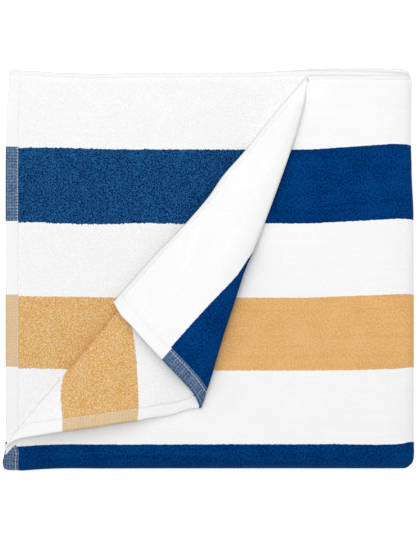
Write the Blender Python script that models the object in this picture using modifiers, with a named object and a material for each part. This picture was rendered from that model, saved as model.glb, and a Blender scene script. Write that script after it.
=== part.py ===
"""Beach towel, folded to eight layers, with the top layer's left end pleated over.

One cloth of 1524 x 762 mm, plain striped along its length: smooth pile on its
face, loops on its back, a hem at each end.  It is folded in this order:

1.  in half along its length, loops inside, the two hems together at the left;
2.  in half again, which gives a bundle of four layers, named from the top
    A (face up), B (loops up), C (face up) and D (face down);
3.  the whole bundle in half across its width, at the near edge, so that the
    same four lie below in the order D, C, B, A;
4.  the left end of the top layer turns over a slanting line, and back again
    along a second one, and lies as a flap.  Both lines fan from one pivot on
    the far edge.

The sheet is worked out as a middle surface and Solidify gives it its thickness.
Sizes are in millimetres here and in metres in the mesh.  +X runs to the right
along the stripes, +Y to the far edge, +Z up; the origin is on the surface that
the towel rests on, under the middle of its outline.
"""

import math

import bmesh
import bpy
import numpy as np

NAME = "towel"
MM = 0.001

# The cloth.
CLOTH_WIDTH = 762.0
THICKNESS = 3.0
LAYER_PITCH = 4.4               # from one layer's middle to the next

# The folded outline.
HALF_LENGTH = 190.0             # from the middle to the hems and to the folds at the right
NEAR_EDGE = -187.3              # outside of the fold across the width
FAR_EDGE = 181.3                # far edge of the top layer
LEFT_FOLD_INSET = 2.0           # the folds at the left lie this far inside the hems
CORNER_TUCK = 5.0               # how far the near corners draw in, round the near fold

# Folds of the bundle, as radii of the middle surface.
OUTER_FOLD = 1.5 * LAYER_PITCH
INNER_FOLD = 0.5 * LAYER_PITCH
NEAR_OPENING = 1.4                          # the near fold's inside is a little rounder
BUNDLE_RADIUS = 2.0 * LAYER_PITCH + NEAR_OPENING    # of the bundle's own middle, there
TOP_LAYER_RADIUS = BUNDLE_RADIUS + OUTER_FOLD       # of layer A, there

RIGHT_CENTRE = HALF_LENGTH - OUTER_FOLD - THICKNESS / 2
LEFT_CENTRE = -HALF_LENGTH + LEFT_FOLD_INSET + INNER_FOLD + THICKNESS / 2
NEAR_CENTRE = NEAR_EDGE + TOP_LAYER_RADIUS + THICKNESS / 2
NEAR_HEIGHT = TOP_LAYER_RADIUS + THICKNESS / 2
FLAT_WIDTH = FAR_EDGE - NEAR_CENTRE         # of a layer above, up to the near fold
NEAR_ARC = math.pi * TOP_LAYER_RADIUS
LOWER_WIDTH = CLOTH_WIDTH - FLAT_WIDTH - NEAR_ARC

# The pleat in layer A.  Angles are counted from the hems' side, about the pivot.
PIVOT_X = 91.9
PIVOT_REACH = PIVOT_X + HALF_LENGTH         # from the hem to the pivot
UNDER_CREASE = 51.2                         # outside of the lower crease
OVER_CREASE = 72.4                          # outside of the upper crease, far from the pivot
OVER_CREASE_SPREAD = 18.5                   # more than that, close to the pivot
SPREAD_FADE = 57.0                          # distance over which that dies out
OVER_CREASE_CLOTH = 25.0                    # where the upper crease lies in the cloth
FLAP_EDGE = 49.4                            # far edge of the cloth, on the flap
FLAP_EDGE_BOW = 1.3                         # and its gentle bow
BOW_PLACE = 154.0
BOW_WIDTH = 47.0
PINCH_REACH = 27.0                          # the folds shrink this close to the pivot
PINCH_POWER = 1.5                           # and the cloth is pinched thinner faster than that
MIDDLE_RISE = math.tan(math.radians(2.5))   # slope of the ply between the creases

# Rolled edge of the flap: how wide its turn is, by distance from the pivot.
# (distance, radius)
FLAP_ROLL = (
    (0.0, 2.2),
    (60.0, 3.5),
    (130.0, 6.0),
    (200.0, 8.5),
    (260.0, 8.5),
    (320.0, 6.0),
    (350.0, 4.5),
)

# The pull on the hem, where it lies on the flap and on the ply under it.
# (angle in the cloth, stretch towards the hem)
HEM_PULL = (
    (0.0, 1.000),
    (14.0, 1.030),
    (22.0, 1.034),
    (25.5, 1.052),
    (31.0, 1.035),
    (45.0, 1.025),
    (50.5, 1.008),
    (55.0, 1.000),
)

# How far the far edges of the layers stand out past that of layer A.
# (place across, upper layers B to D, lower layers)
FAR_EDGES = (
    (-190.0, 0.0, 5.7),
    (-145.0, 1.0, 2.4),
    (40.0, 2.0, 2.6),
    (95.0, 3.0, 5.8),
    (190.0, 0.5, 5.8),
)

# How far the ends draw in, by height up the outline.
# (place along Y, at the left, at the right)
SIDE_EDGES = (
    (-187.3, 0.0, 0.0),
    (140.0, 0.2, 0.4),
    (187.3, 3.4, 1.8),
)

# Steps of the mesh.
FLAP_STEPS = 6
OVER_STEPS = 8
MIDDLE_STEPS = 4
UNDER_STEPS = 6
PLAIN_STEPS = 5                 # from the pleat to the near fold
NEAR_STEPS = 13                 # round the near fold
LOWER_STEPS = 6
PLEAT_COLUMNS = (0.0, 4.0, 9.0, 16.0, 26.0, 42.0, 64.0, 90.0, 118.0, 146.0, 174.0, 202.0, 226.0,
                 245.0, 260.0, 270.0, 276.0)
RUN_STEPS = 5                   # of a flat layer
OUTER_STEPS = 9                 # of a fold of the bundle
INNER_STEPS = 6
PIVOT_ROW = 0.3                 # spacing of the gathered rows right of the pivot
CORNER_ROW = 1.0                # least spacing of the rows where the pleat meets the near fold


def from_table(rows, place, column=1):
    """Read a column of a short table at a place, eased between its rows."""
    places = [row[0] for row in rows]
    values = [row[column] for row in rows]
    place = min(max(place, places[0]), places[-1])
    last = len(rows) - 2
    row = min(int(np.searchsorted(places, place, side="right")) - 1, last)
    share = (place - places[row]) / (places[row + 1] - places[row])
    share = share * share * (3.0 - 2.0 * share)
    return values[row] + share * (values[row + 1] - values[row])


def wrap(x, across, level, lower_layer):
    """Lay a point of the flat bundle round the near fold.

    across runs from layer A's far edge towards the near fold and beyond it, and
    level is the height above the middle of the bundle.
    """
    radius = BUNDLE_RADIUS + level
    edge_share = lower_layer if across < FLAT_WIDTH else 1.0
    column = 1 if across < FLAT_WIDTH else 2
    stand_out = edge_share * from_table(FAR_EDGES, x, column)
    if across < FLAT_WIDTH:
        stretch = 1.0 + stand_out / FLAT_WIDTH
        y = NEAR_CENTRE + (FLAT_WIDTH - across) * stretch
        z = NEAR_HEIGHT + radius
        turn = 0.0
    elif across < FLAT_WIDTH + NEAR_ARC:
        turn = (across - FLAT_WIDTH) / TOP_LAYER_RADIUS
        y = NEAR_CENTRE - radius * math.sin(turn)
        z = NEAR_HEIGHT + radius * math.cos(turn)
    else:
        turn = math.pi
        share = (across - FLAT_WIDTH - NEAR_ARC) / LOWER_WIDTH
        y = NEAR_CENTRE + (FLAT_WIDTH + stand_out) * share
        z = NEAR_HEIGHT - radius
    return draw_in(x, y, turn), y, z


def draw_in(x, y, turn):
    """Draw the ends in along the outline, and at the near corners."""
    side = 1 if x < 0.0 else 2
    tuck = from_table(SIDE_EDGES, y, side) + CORNER_TUCK * math.sin(turn) ** 4
    reach = min(abs(x) / HALF_LENGTH, 1.0)
    return x - math.copysign(tuck * reach ** 6, x)


def bundle_columns():
    """List the columns of the mesh along the cloth: x, level and how much of a lower layer."""
    top = OUTER_FOLD
    columns = [(-HALF_LENGTH + step, top, 0.0) for step in PLEAT_COLUMNS]
    first = PIVOT_X + PINCH_REACH / 4
    columns += run(first, RIGHT_CENTRE, top, 0.0, RUN_STEPS)
    columns += fold(RIGHT_CENTRE, 0.0, OUTER_FOLD, 90.0, -180.0, OUTER_STEPS, 0.0, 1.0)
    columns += run(RIGHT_CENTRE, LEFT_CENTRE, -top, 1.0, RUN_STEPS)[1:]
    left_level = -2.0 * INNER_FOLD
    columns += fold(LEFT_CENTRE, left_level, INNER_FOLD, -90.0, -180.0, INNER_STEPS, 1.0, 1.0)
    columns += run(LEFT_CENTRE, RIGHT_CENTRE, -INNER_FOLD, 1.0, RUN_STEPS)[1:]
    columns += fold(RIGHT_CENTRE, 0.0, INNER_FOLD, -90.0, 180.0, INNER_STEPS, 1.0, 0.5)
    columns += run(RIGHT_CENTRE, -HALF_LENGTH, INNER_FOLD, 0.5, RUN_STEPS + 1)[1:]
    return columns


def run(start, end, level, lower_layer, steps):
    """Columns of a flat layer between two places."""
    return [(start + (end - start) * step / steps, level, lower_layer) for step in range(steps + 1)]


def fold(centre, level, radius, start, turn, steps, first_layer, last_layer):
    """Columns round a fold, between the two flat layers that it joins."""
    columns = []
    for step in range(1, steps + 1):
        share = step / steps
        angle = math.radians(start + turn * share)
        lower_layer = first_layer + (last_layer - first_layer) * share
        columns.append((centre + radius * math.cos(angle), level + radius * math.sin(angle), lower_layer))
    return columns


def pleat_section(distance):
    """The pleat's cross-section, that far from the pivot.

    Returns rows of (side step, height, angle in the cloth), from the flap's free
    edge over the upper crease, back under it, and round the lower crease to where
    the cloth lies undisturbed.
    """
    pinch = min(1.0, distance / PINCH_REACH)
    half = pinch * THICKNESS / 2
    under = pinch * INNER_FOLD
    over = pinch * from_table(FLAP_ROLL, distance)
    spread = OVER_CREASE_SPREAD * math.exp(-distance / SPREAD_FADE)
    bow = FLAP_EDGE_BOW * math.exp(-((distance - BOW_PLACE) / BOW_WIDTH) ** 2)
    under_centre = distance * math.radians(UNDER_CREASE) + half + under
    over_centre = distance * math.radians(OVER_CREASE + spread) - half - over
    free_edge = distance * math.radians(FLAP_EDGE + bow)
    rise = (over_centre - under_centre) * MIDDLE_RISE
    lift = 2.0 * under + pinch * LAYER_PITCH
    top = 2.0 * (under + over) + rise

    rows = []
    for step in range(FLAP_STEPS):
        share = 0.5 - 0.5 * math.cos(math.pi * step / FLAP_STEPS)
        rows.append((free_edge + (over_centre - free_edge) * step / FLAP_STEPS, lift + (top - lift) * share))
    for step in range(OVER_STEPS + 1):
        angle = math.pi * step / OVER_STEPS
        rows.append((over_centre + over * math.sin(angle), top - over + over * math.cos(angle)))
    for step in range(1, MIDDLE_STEPS):
        share = 1.0 - step / MIDDLE_STEPS
        rows.append((under_centre + (over_centre - under_centre) * share, 2.0 * under + rise * share))
    for step in range(UNDER_STEPS + 1):
        angle = math.pi * step / UNDER_STEPS
        rows.append((under_centre - under * math.sin(angle), under + under * math.cos(angle)))

    lengths = [0.0]
    for (a, b), (c, d) in zip(rows, rows[1:]):
        lengths.append(lengths[-1] + math.hypot(c - a, d - b))
    crest = lengths[FLAP_STEPS + OVER_STEPS // 2]
    under_angle = math.degrees(under_centre / distance)
    places = (0.0, crest, lengths[-1])
    angles = (0.0, OVER_CREASE_CLOTH, under_angle)
    return [(side, height, float(np.interp(length, places, angles)))
            for (side, height), length in zip(rows, lengths)]


def pleat_rows(column_x):
    """Points of one column of layer A in the pleat: x, across, height above the layer, distance."""
    reach = PIVOT_X - column_x
    rows = []
    for index in range(FLAP_STEPS + OVER_STEPS + MIDDLE_STEPS + UNDER_STEPS):
        angle = OVER_CREASE_CLOTH
        for _ in range(12):
            distance = reach / math.cos(math.radians(angle))
            side, height, angle = pleat_section(distance)[index]
        pull = 1.0 + (from_table(HEM_PULL, angle) - 1.0) * reach / PIVOT_REACH
        turn = side / distance
        rows.append((PIVOT_X - pull * distance * math.cos(turn), pull * distance * math.sin(turn),
                     height, distance))
    return rows


def plain_rows(column_x, level):
    """Where the rows of a column outside the pleat cross the flat part of the bundle."""
    gathered = FLAP_STEPS + OVER_STEPS + MIDDLE_STEPS + UNDER_STEPS
    rows = gathered + PLAIN_STEPS
    ease = 1.0
    if level >= OUTER_FOLD and column_x < RIGHT_CENTRE:
        ease = (column_x - PIVOT_X) / (RIGHT_CENTRE - PIVOT_X)
    even = [FLAT_WIDTH * index / rows for index in range(rows)]
    close = [PIVOT_ROW * index for index in range(gathered)]
    rest = FLAT_WIDTH - PIVOT_ROW * gathered
    close += [PIVOT_ROW * gathered + rest * index / PLAIN_STEPS for index in range(PLAIN_STEPS)]
    return [a + (b - a) * ease for a, b in zip(close, even)]


def below_pleat_rows(start):
    """Where the rows cross layer A below the pleat, and what follows round the near fold."""
    flat_end = max(FLAT_WIDTH, start + PLAIN_STEPS * CORNER_ROW)
    rows = [start + (flat_end - start) * index / PLAIN_STEPS for index in range(PLAIN_STEPS)]
    return rows + lower_rows(flat_end)


def lower_rows(flat_end=FLAT_WIDTH):
    """Where the rows cross the near fold and the lower half of the bundle."""
    fold_end = FLAT_WIDTH + NEAR_ARC
    rows = [flat_end + (fold_end - flat_end) * index / NEAR_STEPS for index in range(NEAR_STEPS)]
    rows += [fold_end + LOWER_WIDTH * index / LOWER_STEPS for index in range(LOWER_STEPS + 1)]
    return rows


def column_points(column):
    """All points of one column, as (x, y, z, thickness share)."""
    x, level, lower_layer = column
    points = []
    if level >= OUTER_FOLD and x < PIVOT_X:
        pleat = pleat_rows(x)
        for px, across, height, distance in pleat:
            points.append(wrap(px, across, level + height, lower_layer) + (pinched(distance),))
        start = pleat_start(x)
        across_rows = below_pleat_rows(start)
    else:
        across_rows = plain_rows(x, level) + lower_rows()
    for across in across_rows:
        share = 1.0
        if level >= OUTER_FOLD:
            share = pinched(math.hypot(x - PIVOT_X, across))
        points.append(wrap(x, across, level, lower_layer) + (share,))
    return points


def pinched(distance):
    """Share of the cloth's thickness that is left, that far from the pivot."""
    return min(1.0, distance / PINCH_REACH) ** PINCH_POWER


def pleat_start(column_x):
    """Where the undisturbed cloth of layer A starts below the pleat, in one column."""
    reach = PIVOT_X - column_x
    angle = UNDER_CREASE
    for _ in range(12):
        distance = reach / math.cos(math.radians(angle))
        angle = pleat_section(distance)[-1][2]
    return reach * math.tan(math.radians(angle))


def cloth_material():
    """White cotton; the stripes' other colours are a finish and not part of the shape."""
    material = bpy.data.materials.new("white_cotton")
    material.use_nodes = True
    shader = material.node_tree.nodes["Principled BSDF"]
    shader.inputs["Base Color"].default_value = (0.90, 0.90, 0.89, 1.0)
    shader.inputs["Roughness"].default_value = 0.95
    shader.inputs["Metallic"].default_value = 0.0
    return material


def build_towel():
    """Shape a grid into the folded cloth and give it its thickness."""
    columns = [column_points(column) for column in bundle_columns()]
    rows = len(columns[0])
    bm = bmesh.new()
    bmesh.ops.create_grid(bm, x_segments=len(columns) - 1, y_segments=rows - 1, size=1.0)
    pile = bm.verts.layers.deform.new()
    for vert in bm.verts:
        column = round((vert.co.x + 1.0) / 2.0 * (len(columns) - 1))
        row = round((1.0 - vert.co.y) / 2.0 * (rows - 1))
        x, y, z, share = columns[column][row]
        vert.co = (x * MM, y * MM, z * MM)
        vert[pile][0] = share
    mesh = bpy.data.meshes.new(NAME)
    bm.to_mesh(mesh)
    bm.free()
    mesh.shade_smooth()
    mesh.materials.append(cloth_material())

    towel = bpy.data.objects.new(NAME, mesh)
    towel.vertex_groups.new(name="pile")
    solidify = towel.modifiers.new("cloth thickness", "SOLIDIFY")
    solidify.thickness = THICKNESS * MM
    solidify.offset = 0.0
    solidify.vertex_group = "pile"
    return towel


def main():
    """Clear the scene and build the towel in its own collection."""
    for old in list(bpy.data.objects):
        bpy.data.objects.remove(old, do_unlink=True)
    collection = bpy.data.collections.new("beach_towel")
    bpy.context.scene.collection.children.link(collection)
    collection.objects.link(build_towel())


main()
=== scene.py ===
"""A folded beach towel with plain stripes, sheared smooth on its face and looped on its back.

The cloth is one sheet.  Its folds are worked out from the same sizes as the solid
it replaces: four layers folded along the stripes, that bundle folded once more at
the near edge, and the end of the top layer turned over and back into a flap.  The
mesh is laid over those folds with rows and columns packed close at the hems,
creases and edges.  Thread stitches run along the hems on both sides.

Lengths in the classes are millimetres, and the meshes are in metres.
"""

from __future__ import annotations

import logging
import math
from dataclasses import dataclass, field
from enum import Enum

import bpy
import numpy as np
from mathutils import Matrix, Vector

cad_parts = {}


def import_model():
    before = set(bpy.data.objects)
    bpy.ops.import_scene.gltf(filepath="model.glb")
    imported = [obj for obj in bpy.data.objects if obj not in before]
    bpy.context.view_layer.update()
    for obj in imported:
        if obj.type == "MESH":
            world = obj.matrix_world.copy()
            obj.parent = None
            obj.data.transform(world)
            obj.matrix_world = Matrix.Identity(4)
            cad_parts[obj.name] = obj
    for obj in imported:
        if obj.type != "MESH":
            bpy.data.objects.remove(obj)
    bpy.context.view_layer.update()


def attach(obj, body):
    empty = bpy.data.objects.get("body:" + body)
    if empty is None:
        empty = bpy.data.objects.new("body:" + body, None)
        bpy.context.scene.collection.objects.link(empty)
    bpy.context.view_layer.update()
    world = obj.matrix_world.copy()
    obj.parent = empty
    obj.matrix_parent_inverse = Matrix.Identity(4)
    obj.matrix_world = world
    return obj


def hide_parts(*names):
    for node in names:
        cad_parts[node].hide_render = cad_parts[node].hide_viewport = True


LOG = logging.getLogger("beach_towel")
MM = 0.001
TINY = 1e-6                             # keeps a division by a length or a reach safe
NODE = "towel"

Array = np.ndarray


class Side(Enum):
    """The two sides of the cloth, and which way each lies from its middle surface."""

    FACE = 1.0
    BACK = -1.0


def ease(share: Array | float) -> Array | float:
    """Ease a share from 0 to 1, flat at both ends."""
    share = np.clip(share, 0.0, 1.0)
    return share * share * (3.0 - 2.0 * share)


def from_table(rows: tuple[tuple[float, ...], ...], place: Array, column: int = 1) -> Array:
    """Read one column of a short table, eased between its rows.

    Args:
        rows: the table; its first column holds the places, rising.
        place: where to read it.
        column: which column to read.

    Returns:
        The column's value at each place.
    """
    table = np.array(rows)
    places = table[:, 0]
    values = table[:, column]
    place = np.clip(place, places[0], places[-1])
    row = np.clip(np.searchsorted(places, place, side="right") - 1, 0, len(places) - 2)
    share = ease((place - places[row]) / (places[row + 1] - places[row]))
    return values[row] + share * (values[row + 1] - values[row])


def smooth_table(rows: tuple[tuple[float, ...], ...], place: Array, column: int = 1) -> Array:
    """Read one column of a short table through a smooth curve with no flat spots.

    Args:
        rows: the table; its first column holds the places, rising.
        place: where to read it.
        column: which column to read.

    Returns:
        The column's value at each place.
    """
    table = np.array(rows)
    places, values = table[:, 0], table[:, column]
    slopes = np.gradient(values, places)
    slopes[0] = slopes[-1] = 0.0
    place = np.clip(place, places[0], places[-1])
    row = np.clip(np.searchsorted(places, place, side="right") - 1, 0, len(places) - 2)
    gap = places[row + 1] - places[row]
    share = (place - places[row]) / gap
    rise = values[row] + share**2 * (3.0 - 2.0 * share) * (values[row + 1] - values[row])
    bend = share * (1.0 - share) * ((1.0 - share) * slopes[row] - share * slopes[row + 1])
    return rise + gap * bend


def between(places: list[Array], values: list[Array], place: Array) -> Array:
    """Read straight lines between knots that differ from point to point.

    Args:
        places: the knots' places, rising, one array a knot.
        values: the values at the knots.
        place: where to read them.

    Returns:
        The value at each place.
    """
    found = values[0]
    for low, high, first, second in zip(places, places[1:], values, values[1:]):
        share = (place - low) / np.maximum(high - low, 1e-9)
        found = np.where(place > low, first + share * (second - first), found)
    return found


@dataclass(frozen=True)
class Cloth:
    """The cloth as it is cut, hemmed and woven."""

    width: float = 762.0
    length: float = 1524.0
    thickness: float = 3.0
    stripes: int = 11
    end_seam: float = 11.1          # stitch line of the end hems, from the edge
    face_pile_start: float = 13.6   # the sheared pile starts this far from the end
    back_pile_start: float = 12.0   # and the loops start this far from it
    side_seam: float = 4.2
    hem_half: float = 1.15          # half of the thickness of a hem
    seam_half: float = 0.75         # and where its stitches pull it in
    seam_dip: float = 0.55          # how wide a seam's dip is
    side_gap: float = 0.5           # from the side seam to its pile
    pile_rise: float = 0.9          # the pile stands up over this width
    edge_round: float = 1.1
    edge_left: float = 0.008        # share of the thickness, squared, at the very edge

    @property
    def stripe(self) -> float:
        """Width of one stripe."""
        return self.width / self.stripes

    def half(self, side: Side, from_end: Array, from_side: Array) -> Array:
        """How far one side of the cloth stands off its middle surface.

        Args:
            side: which side of the cloth.
            from_end: distance to the nearer hemmed end.
            from_side: distance to the nearer side edge.

        Returns:
            The stand-off, with hems, seams and rounded edges in it.
        """
        pile = self.thickness / 2
        start = self.face_pile_start if side is Side.FACE else self.back_pile_start
        end = self.band(from_end, self.end_seam, start, pile)
        across = self.band(from_side, self.side_seam, self.side_seam + self.side_gap, pile)
        rounded = np.minimum(end, across)
        for distance in (from_end, from_side):
            inside = np.clip(1.0 - distance / self.edge_round, 0.0, 1.0)
            rounded = rounded * np.sqrt(np.maximum(1.0 - inside**2, self.edge_left))
        return rounded

    def band(self, distance: Array, seam: float, start: float, pile: float) -> Array:
        """Stand-off across one hem: the doubled band, its seam and the pile beyond.

        Args:
            distance: distance to the edge.
            seam: where the seam lies.
            start: where the pile starts.
            pile: the pile's own stand-off.

        Returns:
            The stand-off at each distance.
        """
        pull = np.exp(-(((distance - seam) / self.seam_dip) ** 2))
        flat = self.hem_half - (self.hem_half - self.seam_half) * pull
        return flat + (pile - flat) * ease((distance - start) / self.pile_rise)


@dataclass(frozen=True)
class Pleat:
    """The end of the top layer, turned over one slanting crease and back over a second.

    Both creases fan from a pivot on the far edge.  Places in it are given by their
    distance from the pivot and by an angle from the hems' side.
    """

    pivot_x: float = 91.9
    reach: float = 281.9                # from the hem to the pivot
    over_spread: float = 18.5           # how far the upper crease turns out at the pivot
    spread_fade: float = 57.0           # and the distance over which that fades
    over_cloth: float = 24.2            # where the upper crease lies in the cloth
    flap_cloth: float = 21.0            # up to here the flap is hardly gathered
    flap_lies: float = 20.3             # and this far from its edge that place lies
    middle_cloth: tuple[float, ...] = (36.4, 44.5, 48.3)    # places in the ply between them
    middle_lies: tuple[float, ...] = (66.0, 57.9, 54.1)     # and where they lie, if not shifted
    lies_from: float = 200.0            # evenly spaced instead, up to this distance
    lies_fade: float = 70.0             # and there at last this much further out
    flap_most: float = 0.95             # the flap takes no more than this share of the top ply
    pinch_reach: float = 27.0           # closer to the pivot, the cloth is pinched
    rise_power: float = 1.5             # how its plies rise there, away from the pivot
    pinch_power: float = 1.9            # and how they thicken
    roll_power: float = 1.4             # above 1, the rolled edge's top falls away evenly
    roll_share: float = 0.6             # the most of the flap that its rolled top takes up
    quarter_steps: int = 17             # places at which that top is measured
    middle_rise: float = 2.1            # slope of the ply between the creases, in degrees
    rise_share: float = 0.65            # and how much of it slopes
    rise_end: float = 320.0             # it doesn't slope this far from the pivot
    rise_fade: float = 70.0             # and less and less this much nearer
    under_share: float = 0.2            # share of that ply with a flat fold's height
    crease_round: float = 17.0          # the ply comes down towards the lower crease
    crease_press: float = 1.6
    fat_press: float = 0.9              # and more where the crease is fatter
    curl_depth: float = 34.0            # the hem's lift dies out this far into the cloth
    dent: float = 7.0                   # the layers are pressed down along the lower crease
    dent_left: float = 10.0             # and how far that reaches to its left, in the lower layers
    flap_dent_left: float = 40.0        # and in the pleat
    dent_right: float = 60.0
    dent_reach: float = 160.0           # it grows over this distance from the pivot
    dent_late: float = 0.2              # and starts after this share of it
    pitch: float = 4.4
    half_cloth: float = 1.5

    # (distance, half height of the rolled edge, how far its top curves in)
    roll: tuple[tuple[float, ...], ...] = (
        (0.0, 2.0, 3.0),
        (60.0, 2.6, 8.0),
        (130.0, 4.6, 14.0),
        (200.0, 6.4, 18.0),
        (250.0, 6.0, 16.5),
        (285.0, 3.9, 10.0),
        (309.0, 2.1, 4.5),
        (345.0, 1.9, 3.5),
    )

    # (distance, angle of the flap's edge)
    flap_edge: tuple[tuple[float, ...], ...] = (
        (0.0, 49.3),
        (30.0, 49.3),
        (60.0, 49.9),
        (90.0, 50.6),
        (121.0, 50.1),
        (147.0, 51.0),
        (173.0, 50.8),
        (223.0, 49.8),
        (251.0, 49.6),
        (282.0, 49.5),
        (440.0, 49.5),
    )

    # (angle in the cloth, stretch of the hem away from the pivot)
    pull: tuple[tuple[float, ...], ...] = (
        (0.0, 0.9910),
        (2.6, 1.0053),
        (5.5, 1.0104),
        (9.4, 1.0204),
        (13.5, 1.0280),
        (18.3, 1.0358),
        (21.7, 1.0425),
        (24.2, 1.0480),
        (26.0, 1.0515),
        (28.0, 1.0555),
        (30.0, 1.0570),
        (33.0, 1.0455),
        (36.0, 1.0312),
        (40.7, 1.0258),
        (44.5, 1.0235),
        (48.3, 1.0150),
        (49.6, 1.0120),
        (50.5, 1.0060),
        (51.3, 1.0010),
        (55.0, 1.0000),
    )

    # (distance, how much fatter the lower crease is than a flat fold)
    fat_crease: tuple[tuple[float, ...], ...] = (
        (270.0, 0.0),
        (290.0, 0.3),
        (330.0, 2.4),
        (390.0, 2.8),
        (430.0, 2.0),
        (460.0, 1.0),
    )

    # (angle in the cloth, how far the hem stands up from what it lies on)
    hem_lift: tuple[tuple[float, ...], ...] = (
        (0.0, 1.6),
        (4.0, 4.6),
        (12.0, 6.4),
        (18.0, 3.6),
        (22.0, -0.4),
        (27.0, -1.2),
        (30.5, -0.9),
        (34.0, 1.4),
        (38.0, 4.6),
        (45.0, 5.6),
        (49.0, 2.2),
        (51.2, 0.0),
    )

    # How far the middle ply's places shift to the lower crease: (reach, first, second, third)
    middle_shift: tuple[tuple[float, ...], ...] = (
        (180.0, 0.0, 0.0, 0.0),
        (197.0, 0.2, 0.0, 0.0),
        (208.0, 0.2, 0.0, 0.3),
        (222.0, 0.3, 0.3, 0.8),
        (246.0, 0.75, 1.2, 1.5),
        (258.0, 1.05, 1.6, 1.75),
        (270.0, 1.45, 1.95, 1.95),
        (282.0, 1.95, 2.2, 2.05),
    )

    # (distance, angle of the upper crease)
    over_crease: tuple[tuple[float, ...], ...] = (
        (0.0, 72.4),
        (148.0, 72.4),
        (166.0, 72.15),
        (180.0, 71.8),
        (216.0, 71.95),
        (243.0, 72.05),
        (289.0, 72.4),
        (312.0, 72.35),
        (320.0, 72.0),
        (328.0, 71.6),
        (440.0, 71.6),
    )
    under_crease: float = 51.2
    tail: float = 3.4                   # the hem's end stands out at the flap's tip
    tail_angle: float = 1.5
    tail_depth: float = 18.0

    # Soft folds: for each, (distance, angle in the cloth, half width, height)
    soft_folds: tuple[tuple[tuple[float, ...], ...], ...] = (
        ((85.0, 1.6, 5.0, 0.0), (130.0, 1.9, 5.0, -0.9), (160.0, 2.8, 6.0, -1.8),
         (185.0, 5.2, 8.0, -1.6), (220.0, 8.6, 9.0, -1.1), (245.0, 10.6, 9.0, -1.1),
         (275.0, 12.3, 9.0, -0.5), (292.0, 13.0, 9.0, 0.0)),
        ((165.0, 1.2, 5.0, 0.0), (198.0, 3.2, 6.0, 0.9), (225.0, 4.3, 7.0, 0.8),
         (250.0, 5.0, 8.0, 0.4), (270.0, 5.0, 8.0, 0.0)),
        ((90.0, 9.0, 9.0, 0.0), (120.0, 9.5, 10.0, 0.7), (170.0, 11.0, 12.0, 0.6),
         (215.0, 14.5, 12.0, 0.0)),
        ((312.0, 29.5, 3.0, 0.0), (328.0, 29.0, 3.2, 1.2), (350.0, 28.6, 3.4, 1.4)),
        ((318.0, 31.5, 3.0, 0.0), (334.0, 31.2, 3.4, -0.9), (350.0, 31.0, 3.4, -0.8)),
        ((325.0, 33.6, 4.0, 0.0), (340.0, 33.4, 4.4, 0.8), (360.0, 33.2, 4.4, 0.9)),
    )

    def section(self, distance: Array) -> dict[str, Array]:
        """Sizes of the pleat's cross-section at each distance from the pivot.

        Args:
            distance: distances from the pivot.

        Returns:
            Side steps, heights and lengths of the section's five stretches.
        """
        pinch = np.minimum(1.0, distance / self.pinch_reach) ** self.rise_power
        half = pinch * self.half_cloth
        plain = pinch * self.pitch / 2
        fat = smooth_table(self.fat_crease, distance)
        under = plain + fat
        over = pinch * from_table(self.roll, distance)
        over_in = pinch * from_table(self.roll, distance, 2)
        spread = self.over_spread * np.exp(-distance / self.spread_fade)
        crest = distance * np.radians(smooth_table(self.over_crease, distance) + spread) - half
        under_centre = distance * math.radians(self.under_crease) + half + under
        edge = distance * np.radians(smooth_table(self.flap_edge, distance))
        over_in = np.minimum(over_in, self.roll_share * (crest - edge))
        sloping = ease((self.rise_end - distance) / self.rise_fade)
        slope = math.tan(math.radians(self.middle_rise)) * sloping
        rise = (crest - over - under_centre) * slope
        return {
            "edge": edge,
            "crest": crest,
            "over": over,
            "over_in": over_in,
            "under": under,
            "under_centre": under_centre,
            "rise": rise,
            "pressed": pinch * self.crease_press + self.fat_press * fat,
            "plain": plain,
            "lift": 2.0 * plain + pinch * self.pitch,
            "top": 2.0 * (plain + over) + rise,
            "flap_length": crest - over_in - edge,
            "upper_length": self.quarter(over_in, over)[-1],
            "lower_length": 0.5 * math.pi * over,
            "middle_length": crest - over - under_centre,
            "under_length": math.pi * under,
        }

    def quarter(self, wide: Array, high: Array) -> list[Array]:
        """Measure the rolled edge's top quarter, which is near a quarter of an ellipse.

        Args:
            wide: how far it curves in.
            high: half of its height.

        Returns:
            The running length from its top, at each of the quarter's turns.
        """
        sides = np.sin(self.quarter_turns) ** self.roll_power
        drops = 1.0 - np.abs(np.cos(self.quarter_turns)) ** self.roll_power
        lengths = [np.zeros_like(wide)]
        for side, drop in zip(np.diff(sides), np.diff(drops)):
            lengths.append(lengths[-1] + np.hypot(wide * side, high * drop))
        return lengths

    @property
    def quarter_turns(self) -> Array:
        """The turns at which the rolled edge's top quarter is measured."""
        return np.linspace(0.0, 0.5 * math.pi, self.quarter_steps)

    def stretches(self, cut: dict[str, Array]) -> list[Array]:
        """Add up the section's five stretches.

        Args:
            cut: the section's sizes.

        Returns:
            The running length at the end of each stretch.
        """
        names = ("flap_length", "upper_length", "lower_length", "middle_length", "under_length")
        ends = [cut[names[0]]]
        for name in names[1:]:
            ends.append(ends[-1] + cut[name])
        return ends

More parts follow.
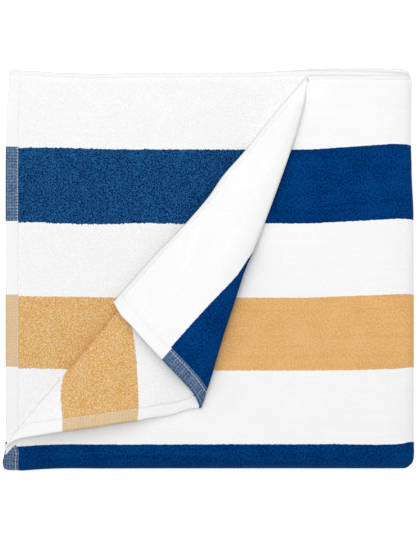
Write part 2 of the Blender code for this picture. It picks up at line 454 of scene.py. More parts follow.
    def knots(self, reach: Array, distance: Array,
              cut: dict[str, Array]) -> tuple[list[Array], list[Array]]:
        """Pairs of cloth angle and running length that fix where the cloth lies in the section.

        Args:
            reach: how far towards the hem the cloth lies from the pivot.
            distance: distances from the pivot.
            cut: the section's sizes there.

        Returns:
            The cloth's angles and the running lengths, both rising.
        """
        ends = self.stretches(cut)
        last = np.degrees(cut["under_centre"] / np.maximum(distance, TINY))
        flat = distance * math.radians(self.flap_lies)
        gathered = ends[1] * self.flap_cloth / self.over_cloth
        flat = np.clip(flat, gathered, self.flap_most * ends[1])
        angles = [np.zeros_like(distance)]
        angles += [np.full_like(distance, cloth) for cloth in (self.flap_cloth, self.over_cloth)]
        lengths = [np.zeros_like(distance), flat, ends[1]]
        here = ease((distance - self.lies_from) / self.lies_fade)
        for place, (cloth, lies) in enumerate(zip(self.middle_cloth, self.middle_lies)):
            share = (cloth - self.over_cloth) / (last - self.over_cloth)
            even = ends[1] + share * (ends[4] - ends[1])
            angle = lies - smooth_table(self.middle_shift, reach, place + 1)
            laid = ends[2] + cut["crest"] - cut["over"] - distance * np.radians(angle)
            angles.append(np.full_like(distance, cloth))
            lengths.append(even + (laid - even) * here)
        return angles + [last], lengths + [ends[4]]

    def angle_to_length(self, angle: Array, reach: Array, distance: Array,
                        cut: dict[str, Array]) -> Array:
        """Running length along the section where an angle of the cloth lies."""
        angles, lengths = self.knots(reach, distance, cut)
        return between(angles, lengths, angle)

    def length_to_angle(self, length: Array, reach: Array, distance: Array,
                        cut: dict[str, Array]) -> Array:
        """Angle of the cloth that lies at a running length along the section."""
        angles, lengths = self.knots(reach, distance, cut)
        return between(lengths, angles, length)

    def last_angle(self, reach: Array) -> Array:
        """Find the angle in the cloth past which it lies undisturbed again.

        Args:
            reach: how far towards the hem the cloth lies from the pivot.

        Returns:
            The angle in degrees, at each reach.
        """
        angle = np.full_like(reach, self.under_crease)
        for _ in range(12):
            distance = reach / np.cos(np.radians(angle))
            angle = np.degrees(self.section(distance)["under_centre"] / distance)
        return angle

    def lay(self, reach: Array, across: Array) -> tuple[Array, Array, Array]:
        """Lay points of the flat cloth in the pleat.

        Args:
            reach: how far towards the hem each lies from the pivot.
            across: how far each lies from the far edge.

        Returns:
            Their place along X, their place across, and their height above the layer.
        """
        distance = np.hypot(reach, across)
        angle = np.degrees(np.arctan2(across, reach))
        cut = self.section(distance)
        length = self.angle_to_length(angle, reach, distance, cut)
        e1, e2, e3, e4, _ = self.stretches(cut)

        share = np.clip(length / np.maximum(e1, TINY), 0.0, 1.0)
        swell = 0.5 - 0.5 * np.cos(math.pi * share)
        side = cut["edge"] + length
        height = cut["lift"] + (cut["top"] - cut["lift"]) * swell

        turns = [np.full_like(length, turn) for turn in self.quarter_turns]
        past = np.clip(length - e1, 0.0, cut["upper_length"])
        turn = between(self.quarter(cut["over_in"], cut["over"]), turns, past)
        upper = (length > e1) & (length <= e2)
        inward = 1.0 - np.sin(turn) ** self.roll_power
        drop = 1.0 - np.abs(np.cos(turn)) ** self.roll_power
        side = np.where(upper, cut["crest"] - cut["over_in"] * inward, side)
        height = np.where(upper, cut["top"] - cut["over"] * drop, height)

        turn = 0.5 * math.pi * np.clip((length - e2) / cut["lower_length"], 0.0, 1.0)
        lower = (length > e2) & (length <= e3)
        side = np.where(lower, cut["crest"] - cut["over"] * (1.0 - np.cos(turn)), side)
        height = np.where(lower, cut["top"] - cut["over"] * (1.0 + np.sin(turn)), height)

        share = np.clip((length - e3) / cut["middle_length"], 0.0, 1.0)
        middle = (length > e3) & (length <= e4)
        side = np.where(middle, cut["crest"] - cut["over"] - (length - e3), side)
        rise = cut["rise"] * ease(1.0 - share / self.rise_share)
        rounding = np.clip(1.0 - (e4 - length) / self.crease_round, 0.0, 1.0) ** 2
        rise = rise - cut["pressed"] * rounding
        fatter = ease((share - self.under_share) / (1.0 - self.under_share))
        level = cut["plain"] + (cut["under"] - cut["plain"]) * fatter
        height = np.where(middle, 2.0 * level + rise, height)

        turn = np.clip((length - e4) / np.maximum(cut["under"], TINY), 0.0, math.pi)
        last = length > e4
        side = np.where(last, cut["under_centre"] - cut["under"] * np.sin(turn), side)
        half_turn = cut["under"] - 0.5 * cut["pressed"]
        height = np.where(last, half_turn * (1.0 + np.cos(turn)), height)

        for fold in self.soft_folds:
            aside = distance * np.radians(angle - smooth_table(fold, distance, 1))
            bump = np.exp(-((aside / smooth_table(fold, distance, 2)) ** 2))
            height = height + smooth_table(fold, distance, 3) * bump

        curl = np.clip(1.0 - (self.reach - reach) / self.curl_depth, 0.0, 1.0) ** 2
        height = height + curl * smooth_table(self.hem_lift, angle)

        stretch = 1.0 + (smooth_table(self.pull, angle) - 1.0) * reach / self.reach
        tip = np.exp(-(((angle - self.over_cloth) / self.tail_angle) ** 2))
        tip = tip * ease(1.0 - (self.reach - reach) / self.tail_depth)
        out = distance * stretch + self.tail * tip
        bearing = side / np.maximum(distance, TINY)
        return self.pivot_x - out * np.cos(bearing), out * np.sin(bearing), height

    def dented(self, x: Array, across: Array, pleated: Array) -> Array:
        """How far the layers are pressed down along the lower crease.

        Args:
            x: places along X.
            across: how far each lies from the far edge.
            pleated: whether each belongs to the pleat.

        Returns:
            The depth at each place.
        """
        distance = np.hypot(self.pivot_x - x, across)
        bearing = np.degrees(np.arctan2(across, self.pivot_x - x))
        aside = distance * np.radians(bearing - self.under_crease)
        left_reach = np.where(pleated, self.flap_dent_left, self.dent_left)
        left = np.exp(np.minimum(aside, 0.0) / left_reach)
        right = np.exp(-((np.maximum(aside, 0.0) / self.dent_right) ** 2))
        return self.dent * left * right * ease(distance / self.dent_reach - self.dent_late)

    def pinched(self, distance: Array) -> Array:
        """Share of the cloth's thickness that is left, close to the pivot."""
        return np.minimum(1.0, distance / self.pinch_reach) ** self.pinch_power


@dataclass(frozen=True)
class Bundle:
    """The folded towel: four layers along X, laid once round the near fold."""

    cloth: Cloth = field(default_factory=Cloth)
    pleat: Pleat = field(default_factory=Pleat)
    pitch: float = 4.4                  # from one layer's middle to the next one's
    half_length: float = 190.0
    near_edge: float = -187.3
    far_edge: float = 181.3
    left_inset: float = 2.0             # the inner fold at the left lies this far in
    near_opening: float = 1.4           # gap inside the near fold
    corner_tuck: float = 0.4            # the ends draw in this much more round that fold
    outline_power: int = 6              # how close to the ends their unevenness stays
    pivot_reach: float = 0.5            # the pleat is laid as if it were this far from its pivot

    # How far the far edges stand out past layer A's: (X, layer B, layers C and D, lower half)
    far_edges: tuple[tuple[float, ...], ...] = (
        (-190.0, 5.3, 4.0, 4.8),
        (-168.0, 4.2, 2.8, 3.6),
        (-135.0, 2.3, 0.9, 1.6),
        (-100.0, 1.6, 0.6, 1.0),
        (-64.0, 2.5, 0.9, 1.8),
        (40.0, 2.9, 1.2, 2.4),
        (78.0, 4.2, 3.0, 5.4),
        (100.0, 4.9, 3.6, 7.0),
        (150.0, 3.6, 3.0, 7.0),
        (190.0, 1.2, 2.4, 7.0),
    )
    edge_reach: float = 70.0            # and how far across that dies out, in the upper layers

    # How far the stripes drift to the far side: (X, at each of the first five stripe edges)
    drift: tuple[tuple[float, ...], ...] = (
        (60.0, 0.0, 0.0, 0.0, 0.7, 0.9),
        (95.0, 0.0, 0.0, 0.0, 0.7, 0.9),
        (122.7, 1.75, 1.42, 1.06, 1.0, 1.0),
        (141.4, 3.0, 2.4, 1.8, 1.3, 0.7),
        (160.1, 4.35, 3.5, 2.6, 2.1, 0.6),
        (174.0, 5.2, 4.3, 3.2, 2.3, 1.0),
        (182.0, 4.9, 4.2, 3.3, 3.2, 2.2),
        (190.0, 4.2, 3.6, 3.0, 4.0, 3.6),
    )
    layer_b_drift: tuple[tuple[float, ...], ...] = (
        (-190.0, 1.5, 1.1, 1.9, 4.8, 3.9),
        (-177.0, 1.4, 1.2, 1.8, 4.6, 2.0),
        (-165.0, 2.1, 1.2, 1.5, 4.3, 0.0),
        (-139.0, 2.0, -0.2, 1.0, 2.8, 0.0),
        (-102.0, 0.5, -0.8, 0.3, 0.0, 0.0),
        (-64.0, 0.0, 0.3, 0.0, 0.0, 0.0),
        (-30.0, 0.0, 0.0, 0.0, 0.0, 0.0),
    )

    # How far the end of the lower crease is drawn to the left: (Y, distance)
    crease_end: tuple[tuple[float, float], ...] = (
        (-176.0, 0.0),
        (-170.0, 1.6),
        (-165.0, 4.4),
        (-160.0, 5.2),
        (-140.0, 4.4),
        (-122.0, 3.0),
        (-100.0, 1.2),
        (-80.0, 0.0),
    )
    crease_end_reach: float = 18.0      # and how far to the right that dies out

    # Rounded corners of the outline: (X, Y, radius); the signs say which corner
    corners: tuple[tuple[float, float, float], ...] = (
        (178.2, 176.4, 12.0),
        (181.3, -176.6, 11.0),
        (-186.6, -182.2, 6.2),
    )

    # How far the ends draw in: (Y, at the left, at the right)
    side_edges: tuple[tuple[float, ...], ...] = (
        (-187.3, -2.9, -2.3),
        (-180.2, -2.9, -2.3),
        (-176.5, -2.2, -2.3),
        (-172.7, -1.2, -2.3),
        (-169.0, -0.5, -2.3),
        (-164.3, -0.2, -2.1),
        (-158.0, 0.1, -2.0),
        (30.0, 0.1, -2.0),
        (48.0, 0.1, -1.7),
        (95.0, 0.2, 0.2),
        (115.0, 0.4, 0.7),
        (138.0, 0.8, 0.3),
        (187.3, 3.4, -0.2),
    )

    # (X, how far the near fold stands out)
    near_out: tuple[tuple[float, ...], ...] = (
        (-190.0, 1.0),
        (-184.0, 1.4),
        (-172.0, 1.35),
        (-160.0, 0.4),
        (-145.0, -0.4),
        (-100.0, -0.6),
        (0.0, -0.8),
        (190.0, -0.8),
    )
    droop: float = 5.2                  # the layers come down towards the right folds
    droop_start: float = 160.0
    droop_width: float = 30.0
    near_sag: float = 4.0               # and down towards the near fold at the left
    sag_start: float = -122.0           # from this place along Y
    sag_width: float = 60.0
    sag_least: float = 0.15             # share of it at the right
    sag_right: float = 40.0             # and it grows to the left from here along X
    sag_spread: float = 170.0
    far_reach: float = 190.0            # the near fold's unevenness dies out over this

    # Gentle unevenness: (waves along X per metre, along Y per metre, phase, height)
    waves: tuple[tuple[float, ...], ...] = (
        (3.1, 5.3, 0.4, 0.30),
        (-5.7, 4.1, 2.1, 0.24),
        (8.3, 7.9, 4.0, 0.16),
        (-11.9, 13.7, 1.2, 0.10),
        (17.1, 9.3, 5.1, 0.07),
    )

    @property
    def outer_fold(self) -> float:
        """Radius of the fold round the other three layers."""
        return 1.5 * self.pitch

    @property
    def inner_fold(self) -> float:
        """Radius of a fold between two neighbouring layers."""
        return 0.5 * self.pitch

    @property
    def middle_radius(self) -> float:
        """Radius of the bundle's own middle in the near fold."""
        return 2.0 * self.pitch + self.near_opening

    @property
    def top_radius(self) -> float:
        """Radius of the top layer in the near fold."""
        return self.middle_radius + self.outer_fold

    @property
    def right_centre(self) -> float:
        """Centre of the folds at the right."""
        return self.half_length - self.outer_fold - self.cloth.thickness / 2

    @property
    def left_centre(self) -> float:
        """Centre of the fold at the left."""
        return -self.half_length + self.left_inset + self.inner_fold + self.cloth.thickness / 2

    @property
    def near_centre(self) -> float:
        """Centre of the near fold along Y."""
        return self.near_edge + self.top_radius + self.cloth.thickness / 2

    @property
    def near_height(self) -> float:
        """Height of the near fold's centre."""
        return self.top_radius + self.cloth.thickness / 2

    @property
    def flat_width(self) -> float:
        """Width of the upper layers, up to the near fold."""
        return self.far_edge - self.near_centre

    @property
    def near_arc(self) -> float:
        """Length of the top layer round the near fold."""
        return math.pi * self.top_radius

    @property
    def runs(self) -> tuple[tuple[float, ...], ...]:
        """The stretches along the cloth.

        Returns:
            For each: its length, X at its start or a fold's centre, X at its end or the fold's
            first angle, turn (0 for a flat run), level of its middle, and radius.
        """
        right, left = self.right_centre, self.left_centre
        outer, inner = self.outer_fold, self.inner_fold
        long = right + self.half_length
        short = right - left
        return (
            (long, -self.half_length, right, 0.0, outer, 0.0),
            (math.pi * outer, right, 90.0, -180.0, 0.0, outer),
            (short, right, left, 0.0, -outer, 0.0),
            (math.pi * inner, left, -90.0, -180.0, -2.0 * inner, inner),
            (short, left, right, 0.0, -inner, 0.0),
            (math.pi * inner, right, -90.0, 180.0, 0.0, inner),
            (long, right, -self.half_length, 0.0, inner, 0.0),
        )

    @property
    def path_length(self) -> float:
        """Length of the folded cloth along its middle surface."""
        return sum(run[0] for run in self.runs)

    def starts(self) -> list[float]:
        """Add up the stretches along the cloth.

        Returns:
            Where each one starts, and where the last one ends.
        """
        places = [0.0]
        for run in self.runs:
            places.append(places[-1] + run[0])
        return places

    def profile(self, along: Array) -> tuple[Array, Array]:
        """Follow the folds along the cloth.

        Args:
            along: how far each place lies along the cloth, from the top layer's hem.

        Returns:
            X and the level above the bundle's middle, at each place.
        """
        x = np.zeros_like(along)
        level = np.zeros_like(along)
        for start, (length, first, second, turn, centre, radius) in zip(self.starts(), self.runs):
            share = np.clip((along - start) / length, 0.0, 1.0)
            here = along >= start
            if turn:
                angle = np.radians(second + turn * share)
                x = np.where(here, first + radius * np.cos(angle), x)
                level = np.where(here, centre + radius * np.sin(angle), level)
            else:
                x = np.where(here, first + (second - first) * share, x)
                level = np.where(here, centre, level)
        return x, level

    def stand_out(self, along: Array, x: Array, lower: Array) -> Array:
        """How far each layer's far edge stands out past that of the top layer.

        Args:
            along: places along the cloth.
            x: places along X.
            lower: whether each lies in the lower half.

        Returns:
            The distance at each place.
        """
        places = self.starts()
        layer_b = from_table(self.far_edges, x, 1)
        layer_cd = from_table(self.far_edges, x, 2)
        under = from_table(self.far_edges, x, 3)
        to_d = ease((along - places[1]) / (places[2] - places[1]))
        to_b = ease((along - places[5]) / (places[6] - places[5]))
        upper = layer_cd * to_d + (layer_b - layer_cd) * to_b
        return np.where(lower, under, upper)

    def lay(self, along: Array, across: Array) -> Array:
        """Lay points of the flat cloth in the folded towel.

        Args:
            along: how far each lies along the cloth, from the top layer's hem.
            across: how far each lies across it, from the far edge of the top layer.

        Returns:
            Their places in the row frame, in millimetres, with X, Y, Z last.
        """
        x, level = self.profile(along)
        reach = self.pleat.reach - along
        cloth_angle = np.degrees(np.arctan2(across, np.maximum(reach, TINY)))
        pleated = (reach > 0.0) & (along < self.starts()[1])
        reach = np.maximum(reach, self.pivot_reach)
        pleated &= cloth_angle < self.pleat.last_angle(reach)
        px, plane, height = self.pleat.lay(reach, across)
        x = np.where(pleated, px, x)
        level = np.where(pleated, level + height, level)
        flat_across = np.where(pleated, plane, across)
        return self.wrap(along, x, flat_across, level, pleated)

    def wrap(self, along: Array, x: Array, across: Array, level: Array, pleated: Array) -> Array:
        """Lay the flat bundle round the near fold, with the unevenness of its outline.

        Args:
            along: places along the cloth.
            x: places along X, in the folded bundle before this fold.
            across: how far each lies from the far edge.
            level: how high each lies above the bundle's middle.
            pleated: whether each belongs to the pleat.

        Returns:
            Their places in the row frame, in millimetres, with X, Y, Z last.
        """
        radius = self.middle_radius + level
        turn = np.clip((across - self.flat_width) / self.top_radius, 0.0, math.pi)
        lower = across > self.flat_width + self.near_arc
        out = self.stand_out(along, x, lower)
        fading = (1.0 - np.minimum(1.0, np.maximum(across, 0.0) / self.edge_reach)) ** 2
        upper_y = self.near_centre + (self.flat_width - across) + out * fading
        lower_width = self.cloth.width - self.flat_width - self.near_arc
        share = (across - self.flat_width - self.near_arc) / lower_width
        lower_y = self.near_centre + share * (self.flat_width + out)
        fold_y = self.near_centre - radius * np.sin(turn)
        y = np.where(across < self.flat_width, upper_y, np.where(lower, lower_y, fold_y))
        z = self.near_height + radius * np.cos(turn)

        upper_share = ease((z - self.near_height) / self.top_radius)
        y = y + self.drifted(along, x, across) * upper_share
        floor = self.cloth.thickness / 2
        press = np.clip((z - floor) / (self.near_height + self.top_radius - floor), 0.0, 1.0)
        droop = self.droop * np.clip((x - self.droop_start) / self.droop_width, 0.0, 1.2) ** 2
        dented = self.pleat.dented(x, self.far_edge - y, pleated)
        z = z + self.waviness(x, y) * upper_share - (self.sag(x, y) + droop + dented) * press
        y = y - smooth_table(self.near_out, x) * ease(-y / self.far_reach)
        left, right = (from_table(self.side_edges, y, column) for column in (1, 2))
        tuck = np.where(x < 0.0, left, right) + self.corner_tuck * np.sin(turn) ** 4
        far_out = np.minimum(np.abs(x) / self.half_length, 1.0) ** self.outline_power
        x = x - np.sign(x) * tuck * far_out
        top_layer = (along < self.starts()[1]) & (upper_share > 0.0)
        x = np.where(top_layer, x - self.drawn_left(x, y), x)
        x, y = self.rounded_corners(x, y)
        return np.stack((x, y, z), axis=-1)

    def drawn_left(self, x: Array, y: Array) -> Array:
        """How far the top layer is drawn to the left at the end of the lower crease.

        Args:
            x: places along X.
            y: places along Y.

        Returns:
            The distance at each place.
        """
        slant = math.tan(math.radians(self.pleat.under_crease))
        crease_x = self.pleat.pivot_x - (self.far_edge - y) / slant
        aside = np.maximum(x - crease_x, 0.0) / self.crease_end_reach
        return smooth_table(self.crease_end, y, 1) * np.exp(-(aside**2))

    def drifted(self, along: Array, x: Array, across: Array) -> Array:
        """How far the stripes drift towards the far edge, in all layers and in layer B's end.

        Args:
            along: places along the cloth.
            x: places along X.
            across: how far each lies from the far edge.

        Returns:
            The distance at each place.
        """
        stripe = across / self.cloth.stripe
        total = np.zeros_like(x)
        for edge in range(1, len(self.drift[0])):
            near = ease(1.0 - np.abs(stripe - edge))
            at_b = smooth_table(self.layer_b_drift, x, edge)
            others = smooth_table(self.drift, x, edge)
            is_b = (along > self.starts()[6]) & (x < 0.0)
            total = total + near * np.where(is_b, at_b, others)
        return total

    def sag(self, x: Array, y: Array) -> Array:
        """How far the top sags towards the near fold, most of it at the left.

        Args:
            x: places along X.
            y: places along Y.

        Returns:
            The depth at each place.
        """
        towards = np.clip((self.sag_start - y) / self.sag_width, 0.0, 1.0)
        at_left = (1.0 - self.sag_least) * ease((self.sag_right - x) / self.sag_spread)
        return self.near_sag * towards**2 * (self.sag_least + at_left)

    def rounded_corners(self, x: Array, y: Array) -> tuple[Array, Array]:
        """Round the corners, by squeezing the square at each into a quarter disc.

        Args:
            x: places along X.
            y: places along Y.

        Returns:
            The places along X and along Y after that.
        """
        for corner_x, corner_y, radius in self.corners:
            beyond_x = np.clip((np.sign(corner_x) * x - abs(corner_x)) / radius, 0.0, 1.2)
            beyond_y = np.clip((np.sign(corner_y) * y - abs(corner_y)) / radius, 0.0, 1.2)
            less_x = radius * beyond_x * (1.0 - np.sqrt(1.0 - beyond_y**2 / 2.0))
            less_y = radius * beyond_y * (1.0 - np.sqrt(1.0 - beyond_x**2 / 2.0))
            x = x - np.sign(corner_x) * less_x
            y = y - np.sign(corner_y) * less_y
        return x, y

    def waviness(self, x: Array, y: Array) -> Array:
        """Gentle unevenness of the upper layers.

        Args:
            x: places along X.
            y: places along Y.

        Returns:
            How far each place is raised.
        """
        total = np.zeros_like(x)
        for along_x, along_y, phase, height in self.waves:
            total = total + height * np.sin(2 * math.pi * MM * (along_x * x + along_y * y) + phase)
        return total

    def frames(self, along: Array, across: Array, step: float = 0.05) -> tuple[Array, Array]:
        """Places on the middle surface, and the direction of its face there.

        Args:
            along: places along the cloth.
            across: places across the cloth.
            step: how far apart the slope is measured.

        Returns:
            Places and unit normals towards the face side.
        """
        here = self.lay(along, across)
        first = self.lay(along + step, across) - self.lay(along - step, across)
        second = self.lay(along, across + step) - self.lay(along, across - step)
        normal = np.cross(second, first)
        length = np.linalg.norm(normal, axis=-1, keepdims=True)
        return here, normal / np.maximum(length, TINY * MM)

    def half(self, side: Side, along: Array, across: Array) -> Array:
        """How far a side of the folded cloth stands off its middle surface.

        Args:
            side: which side of the cloth.
            along: places along the cloth.
            across: places across it.

        Returns:
            The stand-off at each place, less where the cloth is pinched.
        """
        from_end = np.minimum(along, self.path_length - along)
        from_side = np.minimum(across, self.cloth.width - across)
        half = self.cloth.half(side, np.maximum(from_end, 0.0), np.maximum(from_side, 0.0))
        distance = np.hypot(along - self.pleat.reach, across)
        return half * self.pleat.pinched(distance)


@dataclass(frozen=True)
class ClothGrid:
    """The rows and columns of the cloth's mesh, in places along and across the cloth."""

    bundle: Bundle
    end_places: tuple[float, ...] = (0.0, 0.3, 0.8, 1.5, 2.6, 4.4, 6.6, 8.6, 9.8, 10.4, 10.8, 11.2,
                                     11.6, 12.1, 12.7, 13.4, 14.0, 14.6)
    side_places: tuple[float, ...] = (0.0, 0.25, 0.7, 1.5, 2.7, 3.6, 4.1, 4.6, 5.6)
    fine: float = 2.9                   # spacing of the columns where the cloth shows
    pivot_zone: float = 22.0            # closer together this far to the left of the pivot
    pivot_fine: float = 1.8
    right_zone: float = 24.0            # and this far to its right
    right_fine: float = 2.2
    top_fine: float = 3.6               # on the rest of the top layer
    outer_fine: float = 1.5             # round the fold over the other three layers
    inner_fine: float = 0.75            # round the folds between two layers
    hidden: float = 24.0                # and in the two layers inside
    shown_end: float = 250.0            # layer B shows this far from its end
    covered: float = 20.0               # spacing where the flap and the top layer cover it
    narrowing: float = 40.0             # the side hem's rows close up this near to the pivot
    flap_rows: int = 26
    over_rows: int = 14
    middle_rows: int = 26
    under_rows: int = 8
    plain_rows: int = 20
    near_rows: int = 20
    lower_rows: int = 20
    gap: float = 2.6                    # no columns closer than this to the pivot
    gather: float = 2.8                 # the pleat's rows right of the pivot share this width
    corner_row: float = 0.9             # least spacing of the rows past the lower crease
    row_rounds: int = 14                # rounds in which a row's place is found

    def columns(self) -> Array:
        """Place the columns along the cloth, and none inside the pivot's gap.

        Returns:
            Their places along the cloth, rising.
        """
        starts = self.bundle.starts()
        pivot = self.bundle.pleat.reach
        total = self.bundle.path_length
        hem = np.array(self.end_places)
        left = ((pivot - self.pivot_zone, self.fine), (pivot - self.gap, self.pivot_fine))
        right = (
            (pivot + self.right_zone, self.right_fine),
            (starts[1], self.top_fine),
            (starts[2], self.outer_fine),
            (starts[3], self.hidden),
            (starts[4], self.inner_fine),
            (starts[5], self.hidden),
            (starts[6], self.inner_fine),
            (total - self.shown_end, self.covered),
            (total - hem[-1], self.fine),
        )
        parts = [hem]
        for begin, stretches in ((hem[-1], left), (pivot + self.gap, right)):
            if begin > pivot:
                parts.append(np.array([begin]))
            for end, spacing in stretches:
                parts.append(self.spread(begin, end, spacing)[1:])
                begin = end
        parts.append(total - hem[::-1][1:])
        return np.concatenate(parts)

    @staticmethod
    def spread(start: float, end: float, spacing: float) -> Array:
        """Even places from start to end, about spacing apart."""
        return np.linspace(start, end, max(2, round(abs(end - start) / spacing) + 1))

    def pleat_rows(self, reach: Array) -> Array:
        """Place the rows across the pleat.

        Args:
            reach: how far towards the hem each column lies from the pivot.

        Returns:
            The rows' places across, one row of the array a row of the mesh.
        """
        narrowed = np.minimum(1.0, reach / self.narrowing)
        rows = list(np.array(self.side_places)[:, None] * narrowed[None, :])
        first = rows[-1]
        upper_rows = self.over_rows // 2
        counts = (self.flap_rows, upper_rows, self.over_rows - upper_rows,
                  self.middle_rows, self.under_rows)
        for stretch, count in enumerate(counts):
            for step in range(1, count + 1):
                rows.append(self.solve_row(reach, first, stretch, step / count))
        return np.array(rows)

    def solve_row(self, reach: Array, first: Array, stretch: int, share: float) -> Array:
        """Find the place across where a row lies a given share along a stretch of the section.

        Args:
            reach: how far towards the hem each column lies from the pivot.
            first: where the side hem's last row lies across, in each column.
            stretch: which of the section's five stretches.
            share: how far along it, from 0 to 1.

        Returns:
            The row's place across, in each column.
        """
        pleat = self.bundle.pleat
        angle = np.full_like(reach, pleat.over_cloth)
        for _ in range(self.row_rounds):
            distance = reach / np.cos(np.radians(angle))
            cut = pleat.section(distance)
            ends = pleat.stretches(cut)
            if stretch == 0:
                begin_angle = np.degrees(np.arctan2(first, reach))
                begin = pleat.angle_to_length(begin_angle, reach, distance, cut)
            else:
                begin = ends[stretch - 1]
            length = begin + (ends[stretch] - begin) * share
            angle = pleat.length_to_angle(length, reach, distance, cut)
        return reach * np.tan(np.radians(angle))

    def places(self) -> tuple[Array, Array]:
        """Place all the mesh's points on the flat cloth.

        Returns:
            Their places along it and across it, one row of the arrays a column of the mesh.
        """
        bundle = self.bundle
        along = self.columns()
        starts = bundle.starts()
        reach = bundle.pleat.reach - along
        pleated = reach > 0.0
        gathered = len(self.side_places) + self.flap_rows + self.over_rows + self.middle_rows
        gathered += self.under_rows
        flat = bundle.flat_width

        close = np.concatenate((
            np.linspace(0.0, self.gather, gathered),
            np.linspace(self.gather, flat, self.plain_rows + 1)[1:],
        ))
        even = np.concatenate((
            np.array(self.side_places),
            np.linspace(self.side_places[-1], flat, gathered + self.plain_rows
                        - len(self.side_places) + 1)[1:],
        ))
        share = np.clip(-reach / (starts[1] - bundle.pleat.reach), 0.0, 1.0)[:, None]
        upper = close[None, :] + (even - close)[None, :] * share
        fan = self.pleat_rows(reach[pleated]).T
        begin = fan[:, -1]
        flat_end = np.maximum(flat, begin + self.plain_rows * self.corner_row)
        below = self.ruled(begin, flat_end, self.plain_rows)
        upper[pleated] = np.concatenate((fan, below), axis=1)

        fold_end = flat + bundle.near_arc
        near_start = upper[:, -1]
        near = self.ruled(near_start, fold_end, self.near_rows)
        width = bundle.cloth.width
        rest = np.concatenate((
            np.linspace(fold_end, width - self.side_places[-1], self.lower_rows + 1)[1:],
            width - np.array(self.side_places)[::-1][1:],
        ))
        lower = np.broadcast_to(rest, (len(along), len(rest)))
        across = np.concatenate((upper, near, lower), axis=1)
        return np.broadcast_to(along[:, None], across.shape), across

    @staticmethod
    def ruled(begin: Array, end: Array | float, count: int) -> Array:
        """Even rows past one row, up to an end.

        Args:
            begin: the place across where the rows before end, in each column.
            end: where these end.
            count: how many they are.

        Returns:
            Their places across, one row of the array a column of the mesh.
        """
        shares = np.linspace(0.0, 1.0, count + 1)
        return begin[:, None] + (end - begin)[:, None] * shares[None, 1:]


class Value:
    """A number inside a material: one output socket with Python's own arithmetic."""

    def __init__(self, graph: Graph, socket: bpy.types.NodeSocket) -> None:
        """Wrap an output socket of a graph."""
        self.graph = graph
        self.socket = socket

    def __add__(self, other: Value | float) -> Value:
        """Add."""
        return self.graph.math("ADD", self, other)

    def __sub__(self, other: Value | float) -> Value:
        """Subtract."""
        return self.graph.math("SUBTRACT", self, other)

    def __rsub__(self, other: float) -> Value:
        """Subtract from a number."""
        return self.graph.math("SUBTRACT", other, self)

    def __mul__(self, other: Value | float) -> Value:
        """Multiply."""
        return self.graph.math("MULTIPLY", self, other)

    def __truediv__(self, other: Value | float) -> Value:
        """Divide."""
        return self.graph.math("DIVIDE", self, other)

    def __mod__(self, other: float) -> Value:
        """Remainder, never below 0."""
        return self.graph.math("FLOORED_MODULO", self, other)

    def __gt__(self, other: Value | float) -> Value:
        """1 where this is greater."""
        return self.graph.math("GREATER_THAN", self, other)

    def __lt__(self, other: Value | float) -> Value:
        """1 where this is less."""
        return self.graph.math("LESS_THAN", self, other)

    def __abs__(self) -> Value:
        """Size without sign."""
        return self.graph.math("ABSOLUTE", self, 0.0)

    __radd__ = __add__
    __rmul__ = __mul__

    def least(self, other: Value | float) -> Value:
        """The lesser of two."""
        return self.graph.math("MINIMUM", self, other)

    def most(self, other: Value | float) -> Value:
        """The greater of two."""
        return self.graph.math("MAXIMUM", self, other)

    def sine(self) -> Value:
        """Sine of an angle in radians."""
        return self.graph.math("SINE", self, 0.0)

    def ramp(self, low: float, high: float) -> Value:
        """Ease from 0 to 1.

        Args:
            low: up to here the result is 0.
            high: and from here on it is 1.

        Returns:
            The eased share.
        """
        settings = {"interpolation_type": "SMOOTHSTEP"}
        sockets = {"Value": self, "From Min": low, "From Max": high}
        made = self.graph.node("ShaderNodeMapRange", settings, sockets)
        return Value(self.graph, made.outputs[0])

    def bell(self, start: float, full: float, fading: float, end: float) -> Value:
        """Ease from 0 up to 1 and down to 0 again.

        Args:
            start: up to here the result is 0.
            full: from here it is 1.
            fading: up to here.
            end: and from here it is 0 again.

        Returns:
            The eased share.
        """
        return self.ramp(start, full) * (1.0 - self.ramp(fading, end))


Link = Value | bpy.types.NodeSocket | float | tuple[float, ...]


